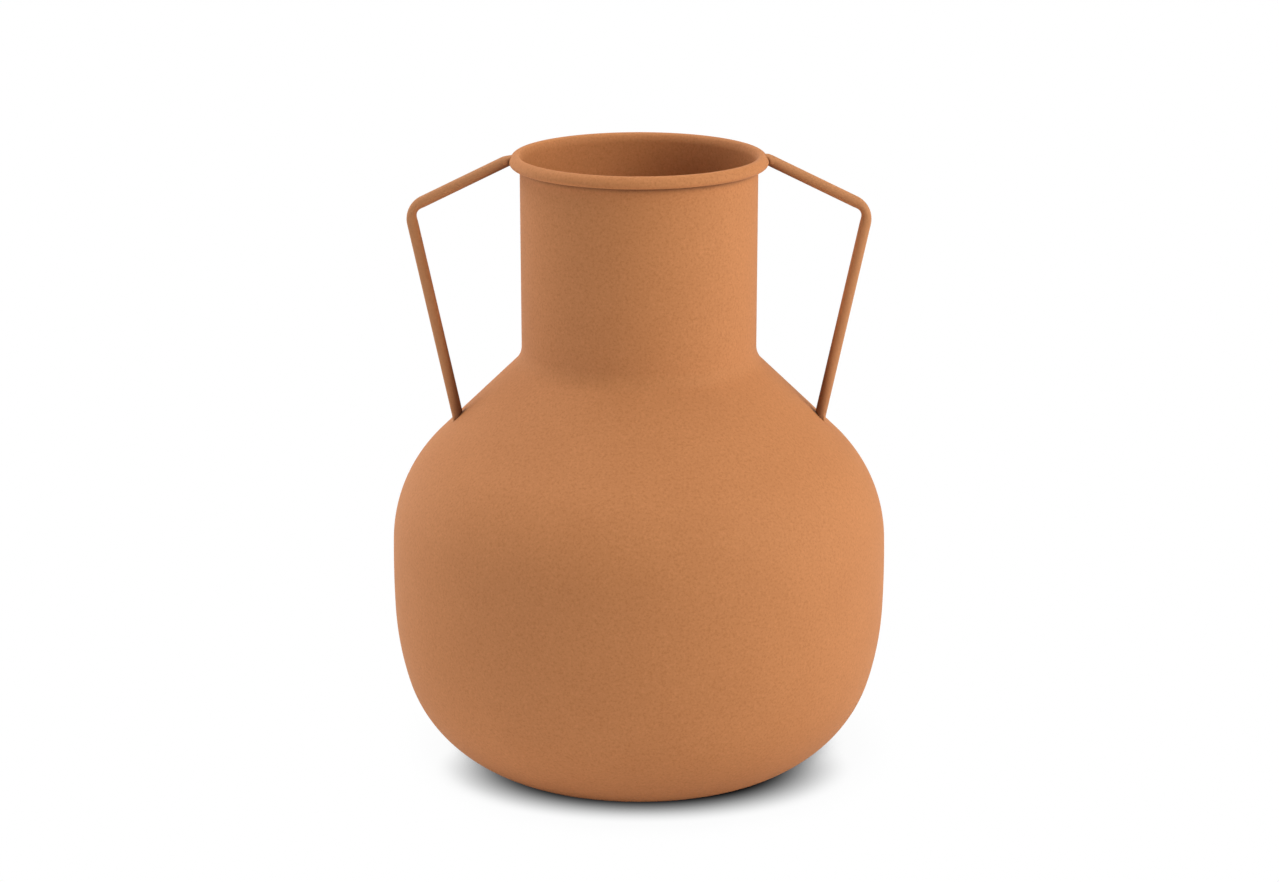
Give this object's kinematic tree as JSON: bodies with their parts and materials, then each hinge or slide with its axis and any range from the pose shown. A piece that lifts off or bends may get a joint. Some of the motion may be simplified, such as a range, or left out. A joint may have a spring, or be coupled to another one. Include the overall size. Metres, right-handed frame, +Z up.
{
  "type": "urn vase",
  "caption": "Round-bellied metal urn vase with a straight neck, a rolled wired rim and bent rod handles welded from rim to shoulder, in a matt textured coat.",
  "frame": {"origin": "centre of the flat base, on the surface that the vase stands on", "axes": "+Z up along the axis of the vase, +X towards the right handle as the picture shows it, so the handles stand along +X and -X"},
  "size_m": [0.2, 0.2, 0.2478],
  "materials": {
    "terracotta_coat": "matt fine-textured powder coat",
    "handle_coat": "matt fine-textured powder coat",
    "weld_coat": "matt powder coat over a weld bead",
    "rim_wire_steel": "plain drawn wire"
  },
  "bodies": {
    "root": {"lower_bowl": "terracotta_coat", "shoulder_dome": "terracotta_coat", "belly_weld": "terracotta_coat", "neck_tube": "terracotta_coat", "neck_weld": "terracotta_coat", "rim_wire": "rim_wire_steel", "left_handle": "handle_coat", "right_handle": "handle_coat", "left_rim_weld": "weld_coat", "right_rim_weld": "weld_coat", "left_foot_weld": "weld_coat", "right_foot_weld": "weld_coat"}
  },
  "joints": []
}
